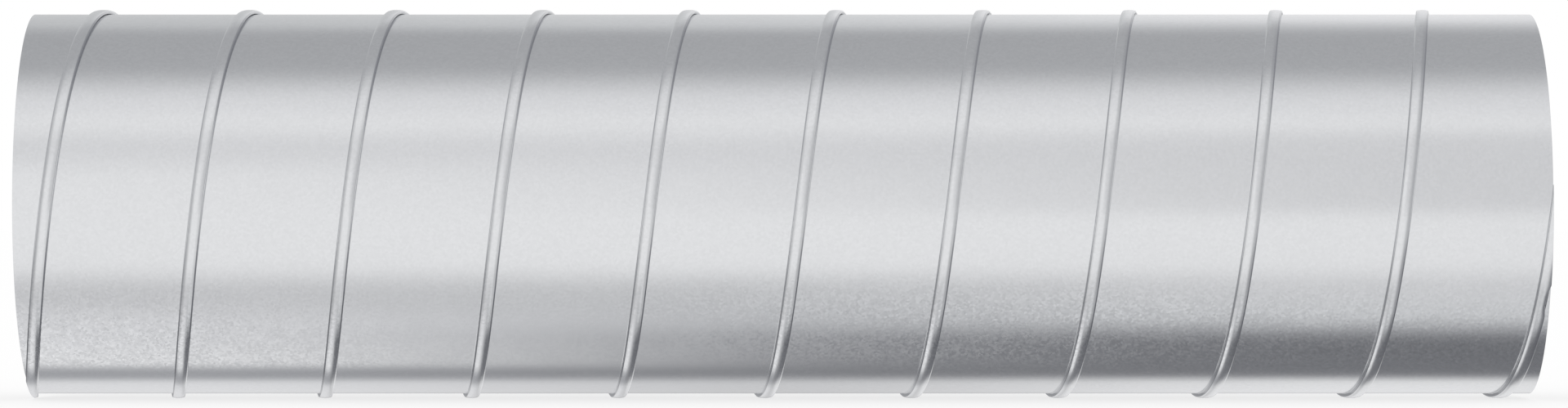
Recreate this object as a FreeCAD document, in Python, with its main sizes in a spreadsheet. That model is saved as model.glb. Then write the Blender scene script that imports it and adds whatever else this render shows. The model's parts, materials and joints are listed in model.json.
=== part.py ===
import FreeCAD
import Part
import Sketcher
import os
from FreeCAD import Placement, Rotation, Vector

# A round ventilation duct, wound from one strip of sheet steel. The strip runs round the duct as a
# left-hand helix, and a folded lock seam four sheets thick joins each turn to the next one.
# The axis runs along X. Lengths are in millimetres.

os.makedirs("parts", exist_ok=True)
doc = FreeCAD.newDocument("RoundDuct")

# Driving sizes
driving_sizes = {
    "DuctLength": 1250.0,  # from one sawn end to the other
    "BoreRadius": 157.5,  # half of the nominal size, 315
    "SheetThickness": 1.0,
    "SeamPitch": 122.6,  # along the axis, from one turn of the seam to the next
    "SeamFromEnd": 52.4,  # from the left end to the seam, at the top of the duct
    "SeamWidth": 10.8,  # along the axis
    "PlyGap": 0.3,  # between one sheet of the seam and the next
    "FlankRun": 1.0,  # how far the rising side of the seam leans over
    "NoseRun": 1.2,  # how far the folded side leans back from its edge
    "CreaseDepth": 2.0,  # how far the crease reaches under the folded side
    "GrooveWidth": 2.6,  # the seam's open line inside the duct
    "GrooveDepth": 2.0,
    "PlyGapDepth": 3.0,  # how far the gap between the sheets runs on past a sawn end
}
sheet = doc.addObject("Spreadsheet::Sheet", "Sizes")
for row, (name, size) in enumerate(driving_sizes.items(), start=1):
    sheet.set(f"A{row}", name)
    sheet.set(f"B{row}", str(size))
    sheet.setAlias(f"B{row}", name)
doc.recompute()


def stack(sheets):
    """The radius outside a stack of sheets, each a gap above the one below."""
    return f"Sizes.BoreRadius + {sheets} * Sizes.SheetThickness + {sheets - 1} * Sizes.PlyGap"


def gap_over(sheets):
    """The radius of the middle of the gap over a stack of sheets."""
    return f"{stack(sheets)} + Sizes.PlyGap / 2"


# Radii that more than one feature uses, from the axis outwards
bore = "Sizes.BoreRadius"
mid_wall = "Sizes.BoreRadius + Sizes.SheetThickness / 2"
outer_wall = stack(1)
nose = stack(2)
crest = stack(4)


def add_sketch(body, plane, label):
    """A sketch that lies flat on one of the body's own origin planes."""
    planes = {feature.Role: feature for feature in body.Origin.OriginFeatures}
    sketch = body.newObject("Sketcher::SketchObject", label)
    sketch.AttachmentSupport = [(planes[plane], "")]
    sketch.MapMode = "FlatFace"
    return sketch


def bind(sketch, constraint, expression):
    """Add one constraint and tie its size to an expression of the sheet's cells."""
    index = sketch.addConstraint(constraint)
    sketch.setExpression(f"Constraints[{index}]", expression)


def draw_circle(sketch, radius):
    """A circle about the sketch's origin."""
    start = float(sketch.evalExpression(radius))
    circle = sketch.addGeometry(Part.Circle(Vector(0, 0, 0), Vector(0, 0, 1), start))
    sketch.addConstraint(Sketcher.Constraint("Coincident", circle, 3, -1, 1))
    bind(sketch, Sketcher.Constraint("Radius", circle, start), radius)


def draw_outline(sketch, corners):
    """A closed outline of straight lines through corners, each an expression for X and one for Y."""
    points = [[float(sketch.evalExpression(value)) for value in corner] for corner in corners]
    lines = []
    for here, there in zip(points, points[1:] + points[:1]):
        segment = Part.LineSegment(Vector(*here, 0), Vector(*there, 0))
        lines.append(sketch.addGeometry(segment))
    for line, following in zip(lines, lines[1:] + lines[:1]):
        sketch.addConstraint(Sketcher.Constraint("Coincident", line, 2, following, 1))
    for line, (x, y), corner in zip(lines, points, corners):
        bind(sketch, Sketcher.Constraint("DistanceX", -1, 1, line, 1, x), corner[0])
        bind(sketch, Sketcher.Constraint("DistanceY", -1, 1, line, 1, y), corner[1])


def seam_section(body, label, start, corners):
    """A section of the seam, whose left foot is at start on the axis, turned to where the seam is there."""
    section = add_sketch(body, "XZ_Plane", f"{label}Section")
    section.AttachmentOffset = Placement(Vector(0, 0, 0), Rotation(Vector(1, 0, 0), 1))
    section.setExpression("AttachmentOffset.Base.x", start)
    turned = f"(Sizes.SeamFromEnd - ({start})) / Sizes.SeamPitch * 360 deg"
    section.setExpression("AttachmentOffset.Rotation.Angle", turned)
    draw_outline(section, corners)
    return section


def wind(body, kind, label, start, length, corners):
    """Carry a section round the axis along the seam, over a length of the axis."""
    section = seam_section(body, label, start, corners)
    helix = body.newObject(kind, label)
    helix.Profile = section
    helix.ReferenceAxis = (section, ["H_Axis"])
    helix.Mode = "pitch-height-angle"
    helix.LeftHanded = True
    helix.Refine = False
    helix.setExpression("Pitch", "Sizes.SeamPitch")
    helix.setExpression("Height", length)


duct = doc.addObject("PartDesign::Body", "SpiralDuct")
duct.Label = "spiral_duct"

# The wall: the strip itself, one sheet thick
wall_ring = add_sketch(duct, "YZ_Plane", "WallRing")
draw_circle(wall_ring, outer_wall)
draw_circle(wall_ring, bore)
wall = duct.newObject("PartDesign::Pad", "Wall")
wall.Profile = wall_ring
wall.setExpression("Length", "Sizes.DuctLength")

# The lock seam, outside. From left to right: the sheet rises over three others, runs flat, and folds
# back under itself, so that its folded side leaves a fine crease against the wall of the next turn.
# It starts at the side of the duct, more than a turn before the place on top, and ends beyond the right
# end. Each turn is a face of its own, so these faces meet at the side, clear of the line it lies on.
seam_start = "Sizes.SeamFromEnd - 1.25 * Sizes.SeamPitch"
seam_length = "Sizes.DuctLength + 2.25 * Sizes.SeamPitch"
wind(
    duct,
    "PartDesign::AdditiveHelix",
    "LockSeam",
    seam_start,
    seam_length,
    [
        ("0", mid_wall),
        ("Sizes.FlankRun", crest),
        ("Sizes.SeamWidth - Sizes.NoseRun", crest),
        ("Sizes.SeamWidth", nose),
        ("Sizes.SeamWidth - Sizes.CreaseDepth", mid_wall),
    ],
)

# The lock seam, inside: an open line between the rising sheet and the fold of the next turn
rise = "Sizes.FlankRun + Sizes.SheetThickness + Sizes.PlyGap / 2"
wind(
    duct,
    "PartDesign::SubtractiveHelix",
    "SeamGroove",
    seam_start,
    seam_length,
    [
        (f"{rise} - Sizes.GrooveWidth", f"{bore} - Sizes.GrooveDepth"),
        (rise, f"{bore} + Sizes.GrooveDepth"),
        (f"{rise} + Sizes.GrooveWidth", f"{bore} - Sizes.GrooveDepth"),
    ],
)

# The gap between the sheets, which shows where the ends are sawn. It enters at the crease, runs under
# the folded sheet, back over it, and over the next turn's flange, and comes down into the groove. Each
# point of its middle line comes with the side, along and across, on which its lower edge lies.
fold = "Sizes.FlankRun + 2 * Sizes.SheetThickness + 1.5 * Sizes.PlyGap"
nose_fold = "Sizes.SeamWidth - Sizes.NoseRun - Sizes.SheetThickness"
half_gap = "Sizes.PlyGap / 2"
middle_line = [
    ("Sizes.SeamWidth - Sizes.CreaseDepth / 2", f"{gap_over(1)} + {half_gap} / 2", 0, -0.5),
    (fold, gap_over(1), -1, -1),
    (fold, gap_over(2), -1, 1),
    (nose_fold, gap_over(2), -1, 1),
    (nose_fold, gap_over(3), -1, -1),
    (rise, gap_over(3), 1, -1),
    (rise, f"{bore} + Sizes.GrooveDepth / 2", 1, 0),
]
lower_edge = [(f"{x} + ({i}) * {half_gap}", f"{y} + ({j}) * {half_gap}") for x, y, i, j in middle_line]
upper_edge = [(f"{x} - ({i}) * {half_gap}", f"{y} - ({j}) * {half_gap}") for x, y, i, j in middle_line]
# At the left end it starts where the end cuts the fold at the nose, since the tip beyond holds by itself.
for label, start, length in (
    ("LeftPlies", f"-({nose_fold})", f"{nose_fold} + Sizes.PlyGapDepth"),
    (
        "RightPlies",
        "Sizes.DuctLength - Sizes.SeamWidth - Sizes.PlyGapDepth",
        "Sizes.SeamWidth + 2 * Sizes.PlyGapDepth",
    ),
):
    plies = lower_edge + upper_edge[::-1]
    wind(duct, "PartDesign::SubtractiveHelix", label, start, length, plies)


def saw_off(body, label, position, reverse):
    """Cut the duct square at a place along the axis and take away what lies beyond it."""
    disc = add_sketch(body, "YZ_Plane", f"{label}Disc")
    disc.setExpression("AttachmentOffset.Base.z", position)
    draw_circle(disc, f"{crest} + Sizes.SeamWidth")
    cut = body.newObject("PartDesign::Pocket", label)
    cut.Profile = disc
    cut.Type = "Length"
    cut.setExpression("Length", "3 * Sizes.SeamPitch")
    cut.Reversed = reverse
    cut.Refine = False


saw_off(duct, "LeftEnd", "0", False)
saw_off(duct, "RightEnd", "Sizes.DuctLength", True)
doc.recompute()

# The duct lies on the crests of its seam, with its middle over the origin.
crest_radius = float(wall_ring.evalExpression(crest))
duct.Placement.Base = Vector(-sheet.DuctLength / 2, 0, crest_radius)
doc.recompute()

for item in doc.Objects:
    if {"Invalid", "Error"} & set(item.State):
        raise RuntimeError(f"{item.Label} failed: {item.State}")
if duct.Shape.isNull() or not duct.Shape.isValid() or len(duct.Shape.Solids) != 1:
    raise RuntimeError(f"{duct.Label} isn't one valid solid")
duct.Shape.exportStep(f"parts/{duct.Label}.step")
print(f"{duct.Label}: {duct.Shape.Volume / 1000:.1f} cm3, {len(duct.Shape.Faces)} faces")
print(duct.Shape.BoundBox)
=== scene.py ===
import json
import math

import bmesh
import bpy
from mathutils import Euler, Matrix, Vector, noise


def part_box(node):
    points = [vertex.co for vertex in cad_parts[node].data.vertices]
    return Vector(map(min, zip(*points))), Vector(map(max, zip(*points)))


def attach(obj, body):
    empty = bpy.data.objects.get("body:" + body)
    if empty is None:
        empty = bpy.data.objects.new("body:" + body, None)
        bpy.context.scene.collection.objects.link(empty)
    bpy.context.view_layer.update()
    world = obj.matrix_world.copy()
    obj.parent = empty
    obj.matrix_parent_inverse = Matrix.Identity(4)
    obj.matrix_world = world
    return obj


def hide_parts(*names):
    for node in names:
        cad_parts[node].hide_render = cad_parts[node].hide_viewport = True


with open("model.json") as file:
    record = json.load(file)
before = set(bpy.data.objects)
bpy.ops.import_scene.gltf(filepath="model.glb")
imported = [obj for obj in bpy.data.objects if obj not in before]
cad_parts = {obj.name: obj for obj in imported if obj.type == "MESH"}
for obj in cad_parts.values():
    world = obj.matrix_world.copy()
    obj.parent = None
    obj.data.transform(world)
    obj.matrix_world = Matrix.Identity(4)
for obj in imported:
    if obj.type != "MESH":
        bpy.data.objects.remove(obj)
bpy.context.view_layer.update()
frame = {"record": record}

mm = 0.001


def srgb(hexColour):  # "#RRGGBB" as it reads on screen, turned to linear values
    channels = [int(hexColour[i:i + 2], 16) / 255 for i in (1, 3, 5)]
    return [c / 12.92 if c <= 0.04045 else ((c + 0.055) / 1.055) ** 2.4 for c in channels] + [1.0]


def addNode(tree, kind, settings={}, inputs={}):
    node = tree.nodes.new(kind)
    for name, value in settings.items():
        setattr(node, name, value)
    for name, value in inputs.items():
        if isinstance(value, bpy.types.NodeSocket):
            tree.links.new(value, node.inputs[name])
        else:
            node.inputs[name].default_value = value
    return node


def setRamp(node, stops):  # stops are (place, hex colour)
    ramp = node.color_ramp
    ramp.interpolation = "EASE"
    while len(ramp.elements) < len(stops):
        ramp.elements.new(1.0)
    for element, (place, colour) in zip(ramp.elements, stops):
        element.position = place
        element.color = srgb(colour)


def newMaterial(name):
    material = bpy.data.materials.new(name)
    material.use_nodes = True
    material.node_tree.nodes.clear()
    return material, material.node_tree


def addPiece(name, mesh):
    piece = bpy.data.objects.new(name, mesh)
    bpy.context.scene.collection.objects.link(piece)
    return piece


# The duct: one strip of sheet, wound and locked
low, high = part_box("spiral_duct")
bore = next(mount for mount in frame["record"]["mounts"] if mount["kind"] == "bore")
axisHeight = (low.z + high.z) / 2

duct = {
    "sheet": 1.0 * mm,
    "pitch": 122.6 * mm,  # along the axis, from one turn of the seam to the next
    "seamFromEnd": 52.4 * mm,  # left end to the seam's left foot, at the top
    "seamWidth": 10.8 * mm,
    "riseFrom": 0.3 * mm,  # from the seam's left foot to the rising sheet
    "riseLean": 0.05 * mm,
    "footBend": 0.8 * mm,  # bend radii, to the middle of the sheet
    "shoulderBend": 0.6 * mm,
    "noseBends": (0.6, 0.8),  # the folded side's, above and below, as shares of a whole fold's
    "crownMargin": 1.2 * mm,  # from the seam's sides to where its crown begins
    "crownReach": 0.93,  # share of the crown that is rounded
    "crownFall": 0.5 * mm,  # the rollers leave the crown rounded: lower towards both sides
    "crownPower": 2.6,
    "crownPoints": 9,
    "freeEdge": 0.6 * mm,  # room past each free edge inside the fold
    "wallPoints": 9,
    "stepsPerBend": 3,
    "stepsPerTurn": 104,
    "sharpFrom": math.radians(40),  # bends of the mesh from this angle on are shaded as edges
    "wallWave": 0.05 * mm,  # slight unevenness of the wall
    "wavesAlong": 14,  # in a metre of length, so 71 mm each
    "wavesRound": 2.2,  # in an arc as long as the radius, so 72 mm each
    "seamWobble": 0.12 * mm,  # slight unevenness of the folded side
    "wobblesPerTurn": 5,
    "wobbleSeed": (3.0, 0.7),
    "foldFrom": 0.45,  # share of the seam's width where the folded side begins to move
    "pinchTurn": 9.668,  # where the fold is pinched near the right end, in turns from the top left
    "pinchReach": 0.013,
    "pinchDepth": 2.6 * mm,
    "spareRoom": 0.02 * mm,  # kept inside the box of the solid
}

boreRadius = bore["dims"]["r_mm"] * mm
crestRadius = min(high.y, -low.y, (high.z - low.z) / 2) - duct["spareRoom"]
plyStep = (crestRadius - boreRadius - duct["sheet"]) / 3  # from one sheet of the seam to the next
plyRadius = [boreRadius + duct["sheet"] / 2 + plyStep * ply for ply in range(4)]
plyGap = plyStep - duct["sheet"]


def bendSheet(corners, steps):  # corners are (along, out, bend radius); a bend becomes a short arc
    line = []
    for i, (along, out, bend) in enumerate(corners):
        corner = Vector((along, out))
        if bend == 0:
            line.append(corner)
            continue
        back = (Vector(corners[i - 1][:2]) - corner).normalized()
        ahead = (Vector(corners[i + 1][:2]) - corner).normalized()
        half = back.angle(ahead) / 2
        centre = corner + (back + ahead).normalized() * bend / math.sin(half)
        first = corner + back * bend / math.tan(half) - centre
        turn = first.angle_signed(corner + ahead * bend / math.tan(half) - centre)
        for step in range(steps + 1):
            angle = -turn * step / steps
            spoke = Vector((first.x * math.cos(angle) - first.y * math.sin(angle),
                            first.x * math.sin(angle) + first.y * math.cos(angle)))
            line.append(centre + spoke)
    return line


def sheetOutline(line, thickness):  # both faces of the sheet, as one closed outline
    faces = [[], []]
    for i, point in enumerate(line):
        ahead = line[min(i + 1, len(line) - 1)] - point
        back = point - line[max(i - 1, 0)]
        ahead = ahead.normalized() if ahead.length else back.normalized()
        back = back.normalized() if back.length else ahead
        across = Vector((-ahead.y - back.y, ahead.x + back.x)).normalized()
        lean = max(across.dot(Vector((-ahead.y, ahead.x))), 0.5)  # tight corners stay short
        reach = thickness / 2 / lean
        faces[0].append(point + across * reach)
        faces[1].append(point - across * reach)
    return faces[0] + faces[1][::-1]


def stripLine():  # the middle of the sheet across the strip, from one folded edge to the other
    sheet, pitch, width = duct["sheet"], duct["pitch"], duct["seamWidth"]
    foldBend = plyStep  # round one other sheet
    rise = sheet / 2 + duct["riseFrom"]
    fold = rise + sheet + plyGap  # the middle of the fold of the next turn
    nose = width - sheet / 2
    side = plyRadius[3] - duct["crownFall"]
    wallStart, wallEnd = sheet * 4, pitch - sheet / 2
    wall = []
    for point in range(duct["wallPoints"]):
        wall.append((wallStart + (wallEnd - wallStart) * point / (duct["wallPoints"] - 1), plyRadius[0], 0))
    crown = []
    for point in range(duct["crownPoints"]):
        across = duct["crownReach"] * (2 * point / (duct["crownPoints"] - 1) - 1)
        fall = duct["crownFall"] * abs(across) ** duct["crownPower"]
        halfCrown = width / 2 - duct["crownMargin"]
        crown.append((pitch + width / 2 + across * halfCrown, plyRadius[3] - fall, 0))
    noseAbove, noseBelow = duct["noseBends"]
    return (
        [(nose - foldBend / 2 - duct["freeEdge"], plyRadius[2], 0), (fold, plyRadius[2], foldBend),
         (fold, plyRadius[0], foldBend)]
        + wall
        + [(pitch + rise, plyRadius[0], duct["footBend"]),
           (pitch + rise + duct["riseLean"], side, duct["shoulderBend"])]
        + crown
        + [(pitch + nose, side, foldBend * noseAbove), (pitch + nose, plyRadius[1], foldBend * noseBelow),
           (pitch + fold + sheet / 2 + duct["freeEdge"], plyRadius[1], 0)]
    )


def stripPoint(along, out, foot, step):  # a point of the sheet, with its slight unevenness
    pitch, steps = duct["pitch"], duct["stepsPerTurn"]
    turned = 2 * math.pi * step / steps
    spot = Vector((foot + along, math.sin(turned), math.cos(turned)))
    if out < plyRadius[0] + duct["sheet"]:
        waves = (spot.x * duct["wavesAlong"], spot.y * duct["wavesRound"], spot.z * duct["wavesRound"])
        out += duct["wallWave"] * noise.noise(Vector(waves))
    else:
        turns = step / steps + (along > pitch / 2)  # this seam's own place along the winding
        across = along % pitch / duct["seamWidth"]
        if across > duct["foldFrom"]:
            share = (across - duct["foldFrom"]) / (1 - duct["foldFrom"])
            pinched = max(0, 1 - ((turns - duct["pinchTurn"]) / duct["pinchReach"]) ** 2) ** 2
            uneven = noise.noise(Vector((turns * duct["wobblesPerTurn"], *duct["wobbleSeed"])))
            along += share * (duct["seamWobble"] * uneven - duct["pinchDepth"] * pinched)
    return foot + along, out * spot.y, axisHeight + out * spot.z


def sawEnd(mesh, end, side):  # cut square, and close the sheet's section with faces of the second material
    everything = mesh.verts[:] + mesh.edges[:] + mesh.faces[:]
    cut = bmesh.ops.bisect_plane(mesh, geom=everything, plane_co=(end, 0, 0), plane_no=(side, 0, 0),
                                 clear_outer=True)
    rim = [item for item in cut["geom_cut"] if isinstance(item, bmesh.types.BMEdge)]
    sawn = bmesh.ops.edgenet_fill(mesh, edges=rim)["faces"]
    for face in sawn:
        face.material_index = 1
    bmesh.ops.triangulate(mesh, faces=sawn)


def windStrip():
    outline = sheetOutline(bendSheet(stripLine(), duct["stepsPerBend"]), duct["sheet"])
    pitch, steps = duct["pitch"], duct["stepsPerTurn"]
    seamStart = low.x + duct["seamFromEnd"]
    firstFoot = low.x - pitch - 2 * duct["seamWidth"]  # it starts and ends outside the duct
    lastFoot = high.x + duct["seamWidth"]
    firstStep = math.floor((firstFoot - seamStart) / pitch * steps)
    lastStep = math.ceil((lastFoot - seamStart) / pitch * steps)
    mesh = bmesh.new()
    rings = []
    for step in range(firstStep, lastStep + 1):
        foot = seamStart + pitch * step / steps
        rings.append([mesh.verts.new(stripPoint(along, out, foot, step)) for along, out in outline])
    for here, there in zip(rings, rings[1:]):
        for i in range(len(outline)):
            k = (i + 1) % len(outline)
            mesh.faces.new((here[i], here[k], there[k], there[i]))
    sawEnd(mesh, low.x, -1)
    sawEnd(mesh, high.x, 1)
    bmesh.ops.recalc_face_normals(mesh, faces=mesh.faces[:])
    for face in mesh.faces:
        face.smooth = face.material_index == 0
    for edge in mesh.edges:
        edge.smooth = len(edge.link_faces) == 2 and edge.calc_face_angle() < duct["sharpFrom"]
    result = bpy.data.meshes.new("spiralDuct")
    mesh.to_mesh(result)
    mesh.free()
    return result


zinc = {
    "colour": [(0.2, "#DEDFE1"), (0.5, "#E0E1E3"), (0.8, "#E2E3E5")],
    "roughness": (0.18, 0.20),
    "crystalWidth": 2.0 * mm,  # real ones of 1 to 3 mm
    "crystalShare": 0.6,  # of the colour's variation, the rest is clouds
    "cloudWidth": 22 * mm,
    # where the crystals stand out, dull ones beside bright ones
    "crystalColour": [(0.2, "#D6D7D9"), (0.5, "#E0E1E3"), (0.8, "#EAEBED")],
    "crystalRoughness": (0.10, 0.30),
    "crystalTilt": (0.004, 0.042),  # where they lie flat, and where they stand out
    # they stand out in long patches below the duct's middle: (height from the axis, how much)
    "crystalHeights": [(-141 * mm, "#000000"), (-122 * mm, "#FFFFFF"), (-100 * mm, "#FFFFFF"),
                       (-50 * mm, "#000000")],
    "patchLength": 500 * mm,
    "patchSeed": 0.0,
    "patchEdge": (0.4, 0.6),  # noise levels where a patch begins and is whole
    "betweenPatches": 0.3,
}


def galvanisedSheet():  # steel sheet, hot-dip galvanised and rolled: a soft mirror with fine crystals
    material, tree = newMaterial("galvanisedSteelHotDipped")
    place = addNode(tree, "ShaderNodeTexCoord").outputs["Object"]
    crystals = addNode(tree, "ShaderNodeTexVoronoi", {"feature": "F1"},
                       {"Vector": place, "Scale": 1 / zinc["crystalWidth"]})
    clouds = addNode(tree, "ShaderNodeTexNoise", {},
                     {"Vector": place, "Scale": 1 / zinc["cloudWidth"], "Detail": 3.0})
    shade = addNode(tree, "ShaderNodeSeparateColor", {}, {"Color": crystals.outputs["Color"]})
    crystalShade = addNode(tree, "ShaderNodeMath", {"operation": "MULTIPLY"},
                           {0: shade.outputs["Red"], 1: zinc["crystalShare"]})
    cloudyShade = addNode(tree, "ShaderNodeMath", {"operation": "MULTIPLY_ADD"},
                          {0: clouds.outputs["Fac"], 1: 1 - zinc["crystalShare"], 2: crystalShade.outputs[0]})

    # how much the crystals stand out
    spot = addNode(tree, "ShaderNodeSeparateXYZ", {}, {0: place})
    height = addNode(tree, "ShaderNodeMapRange", {},
                     {"Value": spot.outputs["Z"], "From Min": low.z, "From Max": axisHeight})
    lower = addNode(tree, "ShaderNodeValToRGB", {}, {"Fac": height.outputs["Result"]})
    radius = axisHeight - low.z
    setRamp(lower, [(1 + below / radius, share) for below, share in zinc["crystalHeights"]])
    unevenZinc = addNode(tree, "ShaderNodeTexNoise", {"noise_dimensions": "4D"}, {
        "Vector": place, "W": zinc["patchSeed"], "Scale": 1 / zinc["patchLength"], "Detail": 1.0})
    patches = addNode(tree, "ShaderNodeMapRange", {}, {
        "Value": unevenZinc.outputs["Fac"], "From Min": zinc["patchEdge"][0],
        "From Max": zinc["patchEdge"][1], "To Min": zinc["betweenPatches"], "To Max": 1.0})
    strength = addNode(tree, "ShaderNodeMath", {"operation": "MULTIPLY"},
                       {0: lower.outputs["Color"], 1: patches.outputs["Result"]})

    plainColour = addNode(tree, "ShaderNodeValToRGB", {}, {"Fac": cloudyShade.outputs[0]})
    setRamp(plainColour, zinc["colour"])
    crystalColour = addNode(tree, "ShaderNodeValToRGB", {}, {"Fac": cloudyShade.outputs[0]})
    setRamp(crystalColour, zinc["crystalColour"])
    colour = addNode(tree, "ShaderNodeMix", {"data_type": "RGBA"}, {
        0: strength.outputs[0], 6: plainColour.outputs["Color"], 7: crystalColour.outputs["Color"]})

    plainRough = addNode(tree, "ShaderNodeMapRange", {}, {
        "Value": shade.outputs["Green"], "To Min": zinc["roughness"][0], "To Max": zinc["roughness"][1]})
    crystalRough = addNode(tree, "ShaderNodeMapRange", {}, {
        "Value": shade.outputs["Green"], "To Min": zinc["crystalRoughness"][0],
        "To Max": zinc["crystalRoughness"][1]})
    rough = addNode(tree, "ShaderNodeMix", {"data_type": "FLOAT"}, {
        0: strength.outputs[0], 2: plainRough.outputs["Result"], 3: crystalRough.outputs["Result"]})

    # each crystal leans its own way
    lean = addNode(tree, "ShaderNodeMapRange", {}, {
        "Value": strength.outputs[0], "To Min": zinc["crystalTilt"][0], "To Max": zinc["crystalTilt"][1]})
    way = addNode(tree, "ShaderNodeVectorMath", {"operation": "SUBTRACT"},
                  {0: crystals.outputs["Color"], 1: (0.5, 0.5, 0.5)})
    tilt = addNode(tree, "ShaderNodeVectorMath", {"operation": "SCALE"},
                   {0: way.outputs[0], "Scale": lean.outputs["Result"]})
    shape = addNode(tree, "ShaderNodeNewGeometry")
    leaned = addNode(tree, "ShaderNodeVectorMath", {"operation": "ADD"},
                     {0: shape.outputs["Normal"], 1: tilt.outputs[0]})
    normal = addNode(tree, "ShaderNodeVectorMath", {"operation": "NORMALIZE"}, {0: leaned.outputs[0]})

    surface = addNode(tree, "ShaderNodeBsdfPrincipled", {}, {
        "Base Color": colour.outputs[2], "Metallic": 1.0, "Roughness": rough.outputs[0],
        "Normal": normal.outputs[0]})
    addNode(tree, "ShaderNodeOutputMaterial", {}, {"Surface": surface.outputs[0]})
    return material


cutEdge = {
    "colour": [(0.3, "#A9ABAE"), (0.7, "#C9CBCD")],
    "roughness": 0.45,
    "grain": mm / 0.9,  # real saw marks are finer, drawn coarser so that they show
}


def sawnEdge():  # bare steel where the duct was sawn: grey, matt, finely mottled
    material, tree = newMaterial("sawnSteelEdge")
    place = addNode(tree, "ShaderNodeTexCoord")
    marks = addNode(tree, "ShaderNodeTexNoise", {},
                    {"Vector": place.outputs["Object"], "Scale": 1 / cutEdge["grain"]})
    colour = addNode(tree, "ShaderNodeValToRGB", {}, {"Fac": marks.outputs["Fac"]})
    setRamp(colour, cutEdge["colour"])
    surface = addNode(tree, "ShaderNodeBsdfPrincipled", {}, {
        "Base Color": colour.outputs["Color"], "Metallic": 1.0, "Roughness": cutEdge["roughness"]})
    addNode(tree, "ShaderNodeOutputMaterial", {}, {"Surface": surface.outputs[0]})
    return material


spiralDuct = addPiece("spiralDuct", windStrip())
spiralDuct.data.materials.append(galvanisedSheet())
spiralDuct.data.materials.append(sawnEdge())
weighted = spiralDuct.modifiers.new("evenShading", "WEIGHTED_NORMAL")
weighted.keep_sharp = True
weighted.weight = 100
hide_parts("spiral_duct")
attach(spiralDuct, "root")
print("duct wound:", len(spiralDuct.data.vertices), "points")


# The studio: a white paper floor, and a soft tent of pale and grey cloths far off all round it
studio = {
    "floorSize": 60.0,  # in metres, so that it reaches past every view
    "floorColour": "#FDFDFD",
    "floorGlow": 0.75,  # how far the paper is lit from behind, so that the duct's shadow stays faint
    # the tent's cloths: (degrees up from the front and over the top, colour)
    "farLeft": [(-150, "#7C7D80"), (-128, "#707175"), (-100, "#88898C"), (-72, "#A0A1A3"), (-50, "#A0A1A3"),
                (0, "#BABBBD"), (125, "#BCBDBF"), (155, "#DEDFE0")],
    "left": [(-163, "#EEEEEF"), (-140, "#F4F4F5"), (-129, "#ACADB0"), (-122, "#ACADB0"), (-112, "#FFFFFF"),
             (-82, "#F6F6F7"), (-55, "#DEDEDF"), (-35, "#FFFFFF"), (13, "#FFFFFF"), (35, "#ECECED"),
             (143, "#D2D3D4")],
    "middle": [(-163, "#D4D4D5"), (-141, "#D8D8D9"), (-126, "#88898C"), (-90, "#9A9B9E"), (-72, "#BEBFC1"),
               (-55, "#D0D1D2"), (-35, "#FFFFFF"), (-10, "#FFFFFF"), (31, "#EEEEEF"), (142, "#DEDFE0")],
    "right": [(-163, "#F4F4F5"), (-139, "#FAFAFA"), (-125, "#7E7F83"), (-92, "#77787C"), (-69, "#E6E7E8"),
              (-51, "#EAEAEB"), (-35, "#FFFFFF"), (-10, "#FFFFFF"), (0, "#E6E6E7"), (37, "#E6E6E7"),
              (154, "#F2F2F3")],
    "farRight": [(-152, "#FFFFFF"), (-128, "#6A6B70"), (-88, "#6A6B70"), (-60, "#8A8B8F"), (-45, "#8A8B8F"),
                 (-20, "#BCBDBF"), (50, "#BCBDBF"), (95, "#94959A"), (145, "#94959A"), (180, "#DADBDC")],
    # right below and overhead, these three cloths are alike
    "near": ("left", "middle", "right"),
    "nearAlike": [(-177, "#A6A7AA"), (50, "#FCFCFC"), (62, "#F3F3F4"), (93, "#B7B8BA"), (122, "#B5B6B8")],
    # how the cloths hang, from left to right: (sine of the bearing from the front, cloth)
    "cloths": [(-0.94, "middle"), (-0.82, "farLeft"), (-0.54, "farLeft"), (-0.25, "left"), (-0.085, "left"),
               (0.005, "middle"), (0.082, "right"), (0.17, "right"), (0.50, "farRight"), (0.82, "farRight"),
               (0.94, "middle")],
}


def seamlessPaper():  # matt white paper, lit from behind: plain white, with a soft faint shadow
    material, tree = newMaterial("seamlessPaper")
    paper = addNode(tree, "ShaderNodeBsdfDiffuse", {}, {"Color": srgb(studio["floorColour"])})
    glow = addNode(tree, "ShaderNodeEmission", {}, {"Color": srgb("#FFFFFF"), "Strength": 1.0})
    rays = addNode(tree, "ShaderNodeLightPath")
    seenByCamera = addNode(tree, "ShaderNodeMath", {"operation": "MULTIPLY"},
                           {0: rays.outputs["Is Camera Ray"], 1: studio["floorGlow"]})
    lit = addNode(tree, "ShaderNodeMixShader", {},
                  {0: seenByCamera.outputs[0], 1: paper.outputs[0], 2: glow.outputs[0]})
    addNode(tree, "ShaderNodeOutputMaterial", {}, {"Surface": lit.outputs[0]})
    return material


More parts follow.
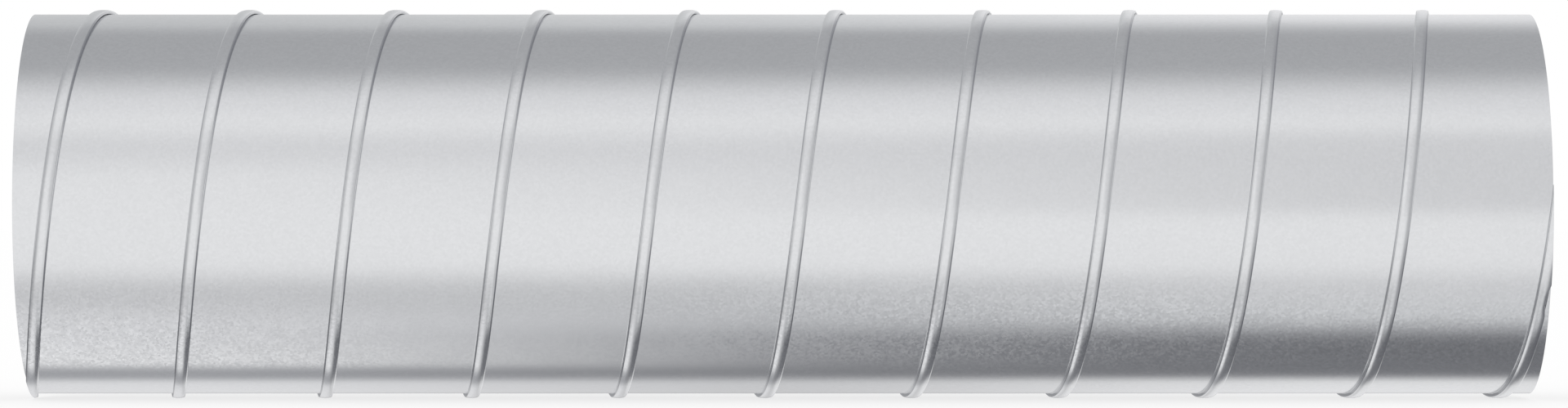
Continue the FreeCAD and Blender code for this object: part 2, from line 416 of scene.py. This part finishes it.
def softTent():  # plain white to the camera and the paper; the metal shows its cloths
    world = bpy.data.worlds.new("softTent")
    world.use_nodes = True
    tree = world.node_tree
    tree.nodes.clear()
    place = addNode(tree, "ShaderNodeTexCoord")
    way = addNode(tree, "ShaderNodeSeparateXYZ", {}, {0: place.outputs["Generated"]})
    forward = addNode(tree, "ShaderNodeMath", {"operation": "MULTIPLY"}, {0: way.outputs["Y"], 1: -1.0})
    upwards = addNode(tree, "ShaderNodeMath", {"operation": "ARCTAN2"},
                      {0: way.outputs["Z"], 1: forward.outputs[0]})
    turn = addNode(tree, "ShaderNodeMapRange", {},
                   {"Value": upwards.outputs[0], "From Min": -math.pi, "From Max": math.pi})
    cloth = {}
    for name in sorted({name for bearing, name in studio["cloths"]}):
        ramp = addNode(tree, "ShaderNodeValToRGB", {}, {"Fac": turn.outputs["Result"]})
        stops = sorted(studio[name] + studio["nearAlike"]) if name in studio["near"] else studio[name]
        setRamp(ramp, [((angle + 180) / 360, colour) for angle, colour in stops])
        cloth[name] = ramp.outputs["Color"]
    tone = cloth[studio["cloths"][0][1]]
    for (bearing, name), (nextBearing, nextName) in zip(studio["cloths"], studio["cloths"][1:]):
        if name == nextName:
            continue
        reached = addNode(tree, "ShaderNodeMapRange", {},
                          {"Value": way.outputs["X"], "From Min": bearing, "From Max": nextBearing})
        blended = addNode(tree, "ShaderNodeMix", {"data_type": "RGBA"},
                          {0: reached.outputs["Result"], 6: tone, 7: cloth[nextName]})
        tone = blended.outputs[2]
    rays = addNode(tree, "ShaderNodeLightPath")
    seen = addNode(tree, "ShaderNodeMix", {"data_type": "RGBA"},
                   {0: rays.outputs["Is Glossy Ray"], 6: srgb("#FFFFFF"), 7: tone})
    sky = addNode(tree, "ShaderNodeBackground", {}, {"Color": seen.outputs[2], "Strength": 1.0})
    addNode(tree, "ShaderNodeOutputWorld", {}, {"Surface": sky.outputs[0]})
    return world


half = studio["floorSize"] / 2
floorMesh = bpy.data.meshes.new("paperFloor")
corners = [(-half, -half, low.z), (half, -half, low.z), (half, half, low.z), (-half, half, low.z)]
floorMesh.from_pydata(corners, [], [(0, 1, 2, 3)])
floorMesh.materials.append(seamlessPaper())
paperFloor = addPiece("paperFloor", floorMesh)
paperFloor.visible_glossy = False  # below the duct, the metal shows the tent's lower cloths
bpy.context.scene.world = softTent()
print("studio set")


# The camera: straight from the side, at the height of the axis
view = {
    "distance": 4944.5 * mm,  # from the duct's axis
    "aside": -14.1 * mm,
    "lens": 135.5,  # lens and sensor in millimetres, as the camera takes them
    "sensor": 36.0,
    "shift": 0.0119,
}
cameraData = bpy.data.cameras.new("productCamera")
cameraData.lens = view["lens"]
cameraData.sensor_width = view["sensor"]
cameraData.shift_x = view["shift"]
camera = bpy.data.objects.new("productCamera", cameraData)
camera.location = (view["aside"], -view["distance"], axisHeight)
camera.rotation_euler = Euler((math.radians(90), 0, 0))
bpy.context.scene.collection.objects.link(camera)
bpy.context.scene.camera = camera
bpy.context.scene.view_settings.view_transform = "Standard"
print("camera set")
